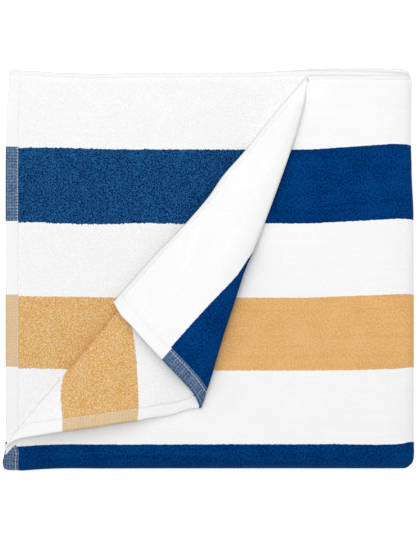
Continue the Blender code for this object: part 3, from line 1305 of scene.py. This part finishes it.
class Graph:
    """A material's node tree, with one method that adds any node and a few that use it."""

    MIX_SOCKETS = {"share": 0, "first": 6, "second": 7, "result": 2}

    def __init__(self, name: str) -> None:
        """Start a material with nothing but its shader and output.

        Args:
            name: the material's name.
        """
        self.material = bpy.data.materials.new(name)
        self.material.use_nodes = True
        self.tree = self.material.node_tree
        self.shader = self.tree.nodes["Principled BSDF"]

    def node(self, kind: str, settings: dict[str, object],
             sockets: dict[str | int, Link]) -> bpy.types.Node:
        """Add a node.

        Args:
            kind: the node's type.
            settings: its properties, which are set first.
            sockets: a value or a link for each input that isn't left as it is.

        Returns:
            The new node.
        """
        made = self.tree.nodes.new(kind)
        for name, value in settings.items():
            setattr(made, name, value)
        for name, value in sockets.items():
            self.feed(made.inputs[name], value)
        return made

    def feed(self, socket: bpy.types.NodeSocket, value: Link) -> None:
        """Link a socket, or set its value.

        Args:
            socket: an input of a node.
            value: what it is linked to or set to.
        """
        if isinstance(value, Value):
            value = value.socket
        if isinstance(value, bpy.types.NodeSocket):
            self.tree.links.new(value, socket)
        else:
            socket.default_value = value

    def math(self, operation: str, first: Value | float, second: Value | float) -> Value:
        """Add a Math node, and wrap its result."""
        made = self.node("ShaderNodeMath", {"operation": operation}, {0: first, 1: second})
        return Value(self, made.outputs[0])

    def mix(self, share: Value | float, first: Link, second: Link) -> bpy.types.NodeSocket:
        """Mix two colours.

        Args:
            share: 0 for the first, 1 for the second.
            first: a colour or a link to one.
            second: a colour or a link to one.

        Returns:
            The mixed colour's socket.
        """
        at = self.MIX_SOCKETS
        sockets = {at["share"]: share, at["first"]: first, at["second"]: second}
        made = self.node("ShaderNodeMix", {"data_type": "RGBA"}, sockets)
        return made.outputs[at["result"]]

    def scaled(self, vector: Link, scale: tuple[float, float, float]) -> bpy.types.NodeSocket:
        """Stretch a vector along its axes."""
        made = self.node("ShaderNodeVectorMath", {"operation": "MULTIPLY"}, {0: vector, 1: scale})
        return made.outputs[0]

    def noise(self, vector: Link, scale: float, detail: float = 2.0) -> Value:
        """Cloudy noise.

        Args:
            vector: where it is read.
            scale: how many features there are to a metre.
            detail: how many finer layers are added to it.

        Returns:
            A value from about 0.25 to 0.75.
        """
        sockets = {"Vector": vector, "Scale": scale, "Detail": detail}
        made = self.node("ShaderNodeTexNoise", {"noise_dimensions": "3D"}, sockets)
        return Value(self, made.outputs[0])


Colour = tuple[float, float, float, float]


def colour(red: float, green: float, blue: float) -> Colour:
    """A linear colour with full alpha."""
    return (red, green, blue, 1.0)


@dataclass(frozen=True)
class TonesAndPaintedLight:
    """A darker and a lighter tone of each stripe's yarn; random tone and weave mix them, and on the
    loops and at the end hems' outer edges they also carry painted highlight and painted shade.
    """

    white: tuple[Colour, Colour]
    navy: tuple[Colour, Colour]
    gold: tuple[Colour, Colour]


SHEARED_DYE = TonesAndPaintedLight(
    white=(colour(0.888, 0.888, 0.888), colour(0.922, 0.922, 0.922)),
    navy=(colour(0.0000, 0.0235, 0.114), colour(0.0012, 0.0505, 0.206)),
    gold=(colour(0.705, 0.391, 0.130), colour(0.795, 0.471, 0.203)),
)
# Painted light on the loops: the lighter tone paints highlights on loop tops and strands, the
# darker one paints shade in the gaps between loops; random tone from loop to loop mixes in too.
LOOPED_TONES_AND_PAINTED_LIGHT = TonesAndPaintedLight(
    white=(colour(0.868, 0.868, 0.866), colour(0.996, 0.996, 0.994)),
    navy=(colour(0.0000, 0.0050, 0.025), colour(0.0250, 0.1700, 0.480)),
    gold=(colour(0.630, 0.305, 0.035), colour(0.930, 0.720, 0.480)),
)
# Tones of the hems' weave; the darker one also paints shade at the end hems' rounded outer edges.
WOVEN_TONES_AND_PAINTED_SHADE = TonesAndPaintedLight(
    white=(colour(0.872, 0.872, 0.872), colour(0.905, 0.905, 0.905)),
    navy=(colour(0.0350, 0.0820, 0.178), colour(0.1900, 0.2600, 0.380)),
    gold=(colour(0.655, 0.460, 0.250), colour(0.735, 0.560, 0.370)),
)


@dataclass(frozen=True)
class StripedCotton:
    """Striped cotton on one side of the cloth: its pile, its flat hems and its colours."""

    name: str
    side: Side
    cloth: Cloth
    path_length: float
    loop: float = 1.2                   # distance between loops
    loop_depth: float = 0.14
    pile_depth: float = 0.10
    warp_step: float = 2.75             # distance between a hem's rows of flecks, across it
    weft_step: float = 2.60             # and along it
    painted_side_edge_shade: Colour = colour(0.50, 0.51, 0.53)       # painted shade: grey at the side hems' rims, where the edges round away from the light

    def material(self) -> bpy.types.Material:
        """Build the material.

        Returns:
            The material, which reads the UV map of the flat cloth in metres.
        """
        graph = Graph(self.name)
        flat = graph.node("ShaderNodeUVMap", {"uv_map": "cloth"}, {}).outputs[0]
        parts = graph.node("ShaderNodeSeparateXYZ", {}, {0: flat})
        along = Value(graph, parts.outputs[0])
        across = Value(graph, parts.outputs[1])
        from_end = along.least(self.path_length * MM - along) / MM
        from_side = across.least(self.cloth.width * MM - across) / MM
        pile = self.pile_mask(from_end, from_side)
        if self.side is Side.BACK:
            pile_colour, height = self.loops(graph, flat, across)
        else:
            pile_colour, height = self.sheared(graph, flat, across)
        hem_colour, hem_height = self.woven(graph, flat, along, across, from_end)
        # Painted shade: the side hems grey towards the cloth's side edges, where those edges round
        # away from the light.
        painted_side_edge_share = (1.0 - from_side.ramp(0.2, 1.6)) * 0.5
        hem_colour = graph.mix(painted_side_edge_share, hem_colour, self.painted_side_edge_shade)
        shown = graph.mix(pile, hem_colour, pile_colour)
        relief = hem_height + (height - hem_height) * pile
        sockets = {"Height": relief, "Distance": 1.0, "Strength": 0.9}
        bump = graph.node("ShaderNodeBump", {}, sockets)
        graph.feed(graph.shader.inputs["Base Color"], shown)
        graph.feed(graph.shader.inputs["Normal"], bump.outputs[0])
        graph.feed(graph.shader.inputs["Roughness"], 0.95)
        graph.feed(graph.shader.inputs["Specular IOR Level"], 0.0)
        graph.feed(graph.shader.inputs["Sheen Weight"], 0.05)
        graph.feed(graph.shader.inputs["Sheen Roughness"], 0.4)
        return graph.material

    def pile_mask(self, from_end: Value, from_side: Value) -> Value:
        """Tell the pile from the flat hems.

        Args:
            from_end: distance to the nearer hemmed end, in millimetres.
            from_side: distance to the nearer side edge.

        Returns:
            1 where there is pile, and 0 on the hems.
        """
        start = self.cloth.back_pile_start
        if self.side is Side.FACE:
            start = self.cloth.face_pile_start
        side = self.cloth.side_seam
        return from_end.ramp(start - 0.3, start + 0.3) * from_side.ramp(side, side + 0.8)

    def striped(self, graph: Graph, across: Value, soft: float, tones_and_painted_light: TonesAndPaintedLight,
                light: Value) -> bpy.types.NodeSocket:
        """Colour the stripes.

        Args:
            graph: the material's graph.
            across: place across the cloth, in metres.
            soft: width over which a stripe's edge blends, in millimetres.
            tones_and_painted_light: the darker and the lighter tone of each stripe's yarn.
            light: 0 for the darker tone, 1 for the lighter one; on the loops and at the end hems'
                edges it carries painted highlight and painted shade.

        Returns:
            The striped colour.
        """
        stripe = across / (self.cloth.stripe * MM)
        inside = 0.5 - abs(stripe % 2.0 - 1.5)
        edge = soft / self.cloth.stripe / 2
        coloured = inside.ramp(-edge, edge)
        is_gold = (stripe % 4.0) > 2.0
        navy, gold = graph.mix(light, *tones_and_painted_light.navy), graph.mix(light, *tones_and_painted_light.gold)
        return graph.mix(coloured, graph.mix(light, *tones_and_painted_light.white), graph.mix(is_gold, navy, gold))

    def loops(self, graph: Graph, flat: Link, across: Value) -> tuple[bpy.types.NodeSocket, Value]:
        """Loops: painted highlights on curled strands and loop tops, painted shade in the gaps
        between loops, random tone from loop to loop, and one dye to a loop at a stripe's edge.

        Args:
            graph: the material's graph.
            flat: place on the flat cloth.
            across: place across it, in metres.

        Returns:
            The loops' colour and their height in metres.
        """
        sockets = {"Vector": flat, "Scale": 1.0 / (self.loop * MM), "Randomness": 1.0}
        cells = graph.node("ShaderNodeTexVoronoi", {"voronoi_dimensions": "2D"}, sockets)
        centre = graph.node("ShaderNodeSeparateXYZ", {}, {0: cells.outputs["Position"]})
        drift = (graph.noise(flat, 60.0) - 0.5) * (1.2 * MM)
        place = across + (Value(graph, centre.outputs[1]) - across) * 0.6 + drift
        tint = graph.node("ShaderNodeSeparateColor", {}, {0: cells.outputs["Color"]})
        own = Value(graph, tint.outputs[0])
        own = own * own - 0.33
        curl = 0.5 - abs(graph.noise(flat, 930.0, 1.0) - 0.5).ramp(0.0, 0.14)
        bulge = 0.42 - Value(graph, cells.outputs["Distance"])
        cloud = graph.noise(flat, 48.0, 2.0) - 0.5
        # The bulge and the curl paint highlights and shade into the colour; own and cloud are
        # random tone.
        light = 0.33 + bulge * 0.95 + own * 0.35 + curl * 0.42 + cloud * 0.22
        height = (bulge * 2.0 + own * 0.4 + curl * 0.5 + cloud * 0.6) * (self.loop_depth * MM)
        return self.striped(graph, place, 0.05, LOOPED_TONES_AND_PAINTED_LIGHT, light), height

    def sheared(self, graph: Graph, flat: Link,
                across: Value) -> tuple[bpy.types.NodeSocket, Value]:
        """Sheared pile: smooth, with faint rows along the cloth, lint and a soft stripe edge.

        Args:
            graph: the material's graph.
            flat: place on the flat cloth.
            across: place across it, in metres.

        Returns:
            The pile's colour and its height in metres.
        """
        rows = graph.noise(graph.scaled(flat, (12.0, 210.0, 1.0)), 1.0, 2.0) - 0.5
        grain = graph.noise(flat, 620.0, 2.0) - 0.5
        cloud = graph.noise(flat, 42.0, 3.0) - 0.5
        edge = (graph.noise(flat, 330.0, 2.0) - 0.5) * (1.3 * MM)
        lint = graph.noise(graph.scaled(flat, (1.0, 1.7, 1.0)), 300.0, 0.0).ramp(0.80, 0.86)
        light = 0.5 + rows * 1.8 + grain * 8.0 + cloud * 2.4 + lint * 2.2
        light = light.least(2.6).most(-0.5)
        height = (rows * 0.10 + grain * self.pile_depth + cloud * 0.30) * MM
        return self.striped(graph, across + edge, 0.5, SHEARED_DYE, light), height

    def woven(self, graph: Graph, flat: Link, along: Value, across: Value,
              from_end: Value) -> tuple[bpy.types.NodeSocket, Value]:
        """Flat weave of the hems: pale flecks in rows both ways, and painted shade at the end hems'
        outer edge, where the doubled hem rounds over.

        The stripes on the hems lie a little off those on the pile, as the photograph's do.

        Args:
            graph: the material's graph.
            flat: place on the flat cloth.
            along: place along it, in metres.
            across: place across it, in metres.
            from_end: distance to the nearer hemmed end, in millimetres.

        Returns:
            The weave's colour and its height in metres.
        """
        warp = (across * (2 * math.pi / (self.warp_step * MM))).sine()
        weft = (along * (2 * math.pi / (self.weft_step * MM))).sine()
        fleck = graph.noise(flat, 520.0, 1.0) - 0.5
        streak = graph.noise(graph.scaled(flat, (60.0, 420.0, 1.0)), 1.0, 1.0) - 0.5
        # Painted shade over the last 1.7 mm of the end hems.
        rim = 1.0 - from_end.ramp(0.3, 1.7)
        light = 0.44 + warp * 0.22 + weft * 0.20 + fleck * 2.0 + streak * 1.0 - rim * 0.7
        near_end = along < (self.path_length * MM / 2)
        slant = (6.5 - from_end * 0.6) * across.ramp(0.29, 0.33)
        under_tip = across.bell(0.105, 0.125, 0.145, 0.175)
        drift = across.ramp(0.085, 0.105) * 1.1 - 1.2 + under_tip * 10.0 - slant
        skew = across + near_end * (drift * MM) + (1.0 - near_end) * (1.4 * MM)
        skew = skew.most(1.0 * MM).least((self.cloth.width - 1.0) * MM)
        height = (warp * weft * 0.04 + fleck * 0.12 + streak * 0.10) * MM
        shown = self.striped(graph, skew, 0.25, WOVEN_TONES_AND_PAINTED_SHADE, light.least(1.0).most(0.0))
        return shown, height


@dataclass(frozen=True)
class ThreadFinish:
    """Pale sewing thread with a slight sheen."""

    name: str = "sewing_thread"
    base: Colour = colour(0.74, 0.69, 0.70)
    lit: Colour = colour(0.90, 0.87, 0.87)

    def material(self) -> bpy.types.Material:
        """Build the material.

        Returns:
            The material, with the thread's twist in its colour and its relief.
        """
        graph = Graph(self.name)
        place = graph.node("ShaderNodeTexCoord", {}, {}).outputs["Object"]
        twist = graph.noise(place, 1600.0, 1.0)
        shade = graph.mix(twist, self.base, self.lit)
        bump = graph.node("ShaderNodeBump", {}, {"Height": twist * (0.08 * MM), "Distance": 1.0})
        graph.feed(graph.shader.inputs["Base Color"], shade)
        graph.feed(graph.shader.inputs["Normal"], bump.outputs[0])
        graph.feed(graph.shader.inputs["Roughness"], 0.6)
        return graph.material


@dataclass
class TowelSheet:
    """The cloth itself: one closed sheet over the folds."""

    bundle: Bundle
    name: str = "towel_cloth"

    def build(self) -> bpy.types.Object:
        """Make the mesh, its UV map of the flat cloth and its two finishes.

        Returns:
            The cloth's object, at the origin.
        """
        along, across = ClothGrid(self.bundle).places()
        middle, normal = self.grid_frames(along, across)
        sides = []
        for side in Side:
            half = self.bundle.half(side, along, across)
            sides.append(middle + normal * (side.value * half)[..., None])
        count = along.size
        index = np.arange(count).reshape(along.shape)
        quads = np.stack((index[:-1, :-1], index[1:, :-1], index[1:, 1:], index[:-1, 1:]), axis=-1)
        face = quads.reshape(-1, 4)[:, ::-1]
        back = quads.reshape(-1, 4) + count
        rim = self.rim(index, count)
        faces = np.concatenate((face, back, rim))
        points = np.concatenate([side.reshape(-1, 3) for side in sides]) * MM
        mesh = bpy.data.meshes.new(self.name)
        mesh.from_pydata(points, [], faces.tolist())
        flat = np.stack((along.ravel(), across.ravel()), axis=1) * MM
        flat = np.concatenate((flat, flat))
        layer = mesh.uv_layers.new(name="cloth")
        layer.data.foreach_set("uv", flat[faces.ravel()].ravel())
        material = np.zeros(len(faces), dtype=np.int32)
        material[len(face):len(face) + len(back)] = 1
        mesh.polygons.foreach_set("material_index", material)
        for finish in self.finishes():
            mesh.materials.append(finish.material())
        mesh.shade_smooth()
        mesh.validate()
        sheet = bpy.data.objects.new(self.name, mesh)
        bpy.context.scene.collection.objects.link(sheet)
        LOG.info("%s: %d columns, %d rows, %d faces", self.name, *along.shape, len(faces))
        return sheet

    def grid_frames(self, along: Array, across: Array) -> tuple[Array, Array]:
        """Lay the grid, and work out its normals from neighbouring points.

        Args:
            along: places along the cloth.
            across: places across it.

        Returns:
            The places in the row frame, and the unit normals towards the face.
        """
        middle = self.bundle.lay(along, across)
        normal = np.cross(np.gradient(middle, axis=1), np.gradient(middle, axis=0))
        length = np.linalg.norm(normal, axis=-1, keepdims=True)
        return middle, normal / np.maximum(length, TINY * MM)

    @staticmethod
    def rim(index: Array, count: int) -> Array:
        """Close the sheet round its four edges.

        Args:
            index: the numbers of one side's points, in their grid.
            count: how many points a side has.

        Returns:
            The faces of the rim.
        """
        loop = np.concatenate((index[:, 0], index[-1, 1:], index[-2::-1, -1], index[0, -2:0:-1]))
        following = np.roll(loop, -1)
        return np.stack((loop, following, following + count, loop + count), axis=1)

    def finishes(self) -> tuple[StripedCotton, StripedCotton]:
        """Name the cloth's two finishes.

        Returns:
            The finish of the face and that of the back.
        """
        cloth, length = self.bundle.cloth, self.bundle.path_length
        face = StripedCotton("sheared_cotton", Side.FACE, cloth, length)
        back = StripedCotton("looped_cotton", Side.BACK, cloth, length)
        return face, back


@dataclass
class SeamStitches:
    """Lockstitches along the seams, on both sides of the cloth."""

    bundle: Bundle
    name: str
    length: float = 2.5
    spacing: float = 2.9
    radius: float = 0.27
    arch: float = 0.45                  # how far a stitch's middle stands up, in radii
    look_ahead: float = 0.2             # step in which a seam's direction is measured

    def one_stitch(self) -> tuple[Array, Array]:
        """Model one stitch, along X and arched over Z.

        Returns:
            Its points in millimetres, and its faces.
        """
        bpy.ops.object.select_all(action="DESELECT")
        bpy.ops.mesh.primitive_uv_sphere_add(segments=6, ring_count=4, radius=1.0,
                                             rotation=(0.0, math.pi / 2, 0.0))
        stitch = bpy.context.object
        bpy.ops.object.transform_apply(location=False, rotation=True, scale=False)
        bpy.ops.object.mode_set(mode="EDIT")
        bpy.ops.mesh.select_all(action="SELECT")
        bpy.ops.transform.resize(value=(self.length / 2, self.radius, self.radius))
        bpy.ops.mesh.quads_convert_to_tris()
        bpy.ops.object.mode_set(mode="OBJECT")
        points = np.array([vertex.co[:] for vertex in stitch.data.vertices])
        faces = self.in_order(np.array([face.vertices[:] for face in stitch.data.polygons]))
        bpy.data.objects.remove(stitch, do_unlink=True)
        bow = 1.0 - (2.0 * points[:, 0] / self.length) ** 2
        points[:, 2] += self.arch * self.radius * bow
        return points, faces

    @staticmethod
    def in_order(faces: Array) -> Array:
        """Put triangles in a fixed order, because the operator's own order differs by run.

        Args:
            faces: triangles, by their points' numbers.

        Returns:
            The same triangles, each from its lowest point on, rising.
        """
        turned = np.array([np.roll(face, -face.argmin()) for face in faces])
        return turned[np.lexsort(turned.T[::-1])]

    def seam_places(self) -> list[tuple[Array, Array, Array]]:
        """Places of the stitches, along and across, and their direction on the flat cloth."""
        raise NotImplementedError

    def build(self, finish: bpy.types.Material) -> bpy.types.Object:
        """Copy the stitch along every seam and join the copies.

        Args:
            finish: the thread's material.

        Returns:
            The joined stitches' object, at the origin.
        """
        points, faces = self.one_stitch()
        all_points, all_faces, count = [], [], 0
        for along, across, heading in self.seam_places():
            for side in Side:
                laid = self.laid(points, along, across, heading, side)
                offsets = count + np.arange(len(along)) * len(points)
                all_points.append(laid.reshape(-1, 3))
                all_faces.append((faces[None] + offsets[:, None, None]).reshape(-1, 3))
                count += len(along) * len(points)
        mesh = bpy.data.meshes.new(self.name)
        mesh.from_pydata(np.concatenate(all_points) * MM, [], np.concatenate(all_faces).tolist())
        mesh.materials.append(finish)
        mesh.shade_smooth()
        made = bpy.data.objects.new(self.name, mesh)
        bpy.context.scene.collection.objects.link(made)
        LOG.info("%s: %d stitches", self.name, count // len(points))
        return made

    def laid(self, points: Array, along: Array, across: Array, heading: Array, side: Side) -> Array:
        """Lay copies of the stitch on one side of the cloth.

        Args:
            points: the stitch's points.
            along: where each copy lies along the cloth.
            across: where it lies across it.
            heading: its direction on the flat cloth.
            side: which side of the cloth.

        Returns:
            The copies' points in the row frame, in millimetres.
        """
        middle, normal = self.bundle.frames(along, across)
        step = self.look_ahead * heading
        ahead = self.bundle.lay(along + step[:, 0], across + step[:, 1]) - middle
        ahead /= np.maximum(np.linalg.norm(ahead, axis=1, keepdims=True), TINY * MM)
        up = normal * side.value
        beside = np.cross(up, ahead)
        half = self.bundle.half(side, along, across)
        base = middle + up * half[:, None]
        return (base[:, None] + points[None, :, 0:1] * ahead[:, None]
                + points[None, :, 1:2] * beside[:, None] + points[None, :, 2:3] * up[:, None])


@dataclass
class EndSeams(SeamStitches):
    """The seams of the two end hems."""

    name: str = "end_hem_stitches"
    margin: float = 2.5                 # the seams stop this far from the side edges

    def seam_places(self) -> list[tuple[Array, Array, Array]]:
        """Place the rows of stitches across the cloth, near both ends.

        Returns:
            For each row: places along and across, and the direction on the flat cloth.
        """
        cloth = self.bundle.cloth
        across = np.arange(self.margin, cloth.width - self.margin, self.spacing)
        heading = np.tile((0.0, 1.0), (len(across), 1))
        rows = []
        for place in (cloth.end_seam, self.bundle.path_length - cloth.end_seam):
            rows.append((np.full_like(across, place), across, heading))
        return rows


@dataclass
class SideSeams(SeamStitches):
    """The seams of the two narrow side hems."""

    name: str = "side_hem_stitches"
    radius: float = 0.20
    margin: float = 12.5                # the seams stop this far from the ends
    pinched: float = 34.0               # and this far from the pivot, where the cloth is pinched

    def seam_places(self) -> list[tuple[Array, Array, Array]]:
        """Place the rows of stitches along both side edges.

        Returns:
            For each row: places along and across, and the direction on the flat cloth.
        """
        cloth = self.bundle.cloth
        reach = self.bundle.pleat.reach
        along = np.arange(self.margin, self.bundle.path_length - self.margin, self.spacing)
        rows = []
        for place in (cloth.side_seam, cloth.width - cloth.side_seam):
            free = (np.abs(along - reach) > self.pinched) | (place > cloth.width / 2)
            kept = along[free]
            heading = np.tile((1.0, 0.0), (len(kept), 1))
            rows.append((kept, np.full_like(kept, place), heading))
        return rows


@dataclass(frozen=True)
class Studio:
    """A pale floor, soft light and a camera straight above."""

    pixels: tuple[int, int] = (420, 540)
    pixel_size: float = 0.935           # of the cloth's top, in millimetres
    middle: tuple[float, float] = (1.2, -0.7)
    focus_height: float = 28.0
    camera_height: float = 7000.0
    sensor: float = 36.0
    floor_size: float = 8.0             # in metres
    floor_glow: float = 0.68            # keeps the floor as white as the photograph's
    room_light: float = 0.45

    def floor(self) -> bpy.types.Object:
        """Add the plain pale floor.

        Returns:
            The floor's object.
        """
        bpy.ops.object.select_all(action="DESELECT")
        bpy.ops.mesh.primitive_plane_add(size=self.floor_size)
        plane = bpy.context.object
        plane.name = "floor"
        graph = Graph("pale_floor")
        graph.feed(graph.shader.inputs["Base Color"], colour(0.62, 0.62, 0.62))
        graph.feed(graph.shader.inputs["Roughness"], 1.0)
        graph.feed(graph.shader.inputs["Specular IOR Level"], 0.0)
        graph.feed(graph.shader.inputs["Emission Color"], colour(1.0, 1.0, 1.0))
        graph.feed(graph.shader.inputs["Emission Strength"], self.floor_glow)
        plane.data.materials.append(graph.material)
        return plane

    @staticmethod
    def soft_light(name: str, place: tuple[float, float, float], size: float,
                   power: float) -> None:
        """Add a square soft light that looks at the towel.

        Args:
            name: the light's name.
            place: where it hangs, in metres.
            size: its side, in metres.
            power: its power, in watts.
        """
        data = bpy.data.lights.new(name, "AREA")
        data.size = size
        data.energy = power
        lamp = bpy.data.objects.new(name, data)
        lamp.location = place
        lamp.rotation_euler = (-Vector(place)).to_track_quat("-Z", "Y").to_euler()
        bpy.context.scene.collection.objects.link(lamp)

    def light(self) -> None:
        """Light the towel softly from above, a little more from the far left."""
        self.soft_light("top_light", (-0.2, 0.1, 3.2), 1.6, 38.0)
        self.soft_light("key_light", (-0.2, 1.6, 1.7), 1.8, 21.0)
        world = bpy.data.worlds.new("soft_room")
        world.use_nodes = True
        background = world.node_tree.nodes["Background"].inputs
        background["Color"].default_value = colour(1.0, 1.0, 1.0)
        background["Strength"].default_value = self.room_light
        bpy.context.scene.world = world

    def camera(self) -> None:
        """Look straight down, with the towel framed as in the photograph."""
        data = bpy.data.cameras.new("camera")
        data.sensor_width = self.sensor
        frame_height = self.pixels[1] * self.pixel_size
        data.lens = self.sensor * (self.camera_height - self.focus_height) / frame_height
        data.clip_end = 100.0
        camera = bpy.data.objects.new("camera", data)
        camera.location = (self.middle[0] * MM, self.middle[1] * MM, self.camera_height * MM)
        bpy.context.scene.collection.objects.link(camera)
        bpy.context.scene.camera = camera
        bpy.context.scene.view_settings.view_transform = "Standard"


def declare(sheet: bpy.types.Object, stitches: list[bpy.types.Object]) -> None:
    """Attach each piece to the root body, and hide the solid that the pieces replace.

    Args:
        sheet: the cloth's object.
        stitches: the seams' objects.
    """
    for piece in (sheet, *stitches):
        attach(piece, "root")
    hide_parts(NODE)


def main() -> None:
    """Build the towel and its studio."""
    logging.basicConfig(level=logging.INFO, format="%(name)s: %(message)s")
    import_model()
    bundle = Bundle()
    sheet = TowelSheet(bundle).build()
    thread = ThreadFinish().material()
    stitches = [EndSeams(bundle).build(thread), SideSeams(bundle).build(thread)]
    declare(sheet, stitches)
    studio = Studio()
    studio.floor()
    studio.light()
    studio.camera()


if __name__ == "__main__":
    main()
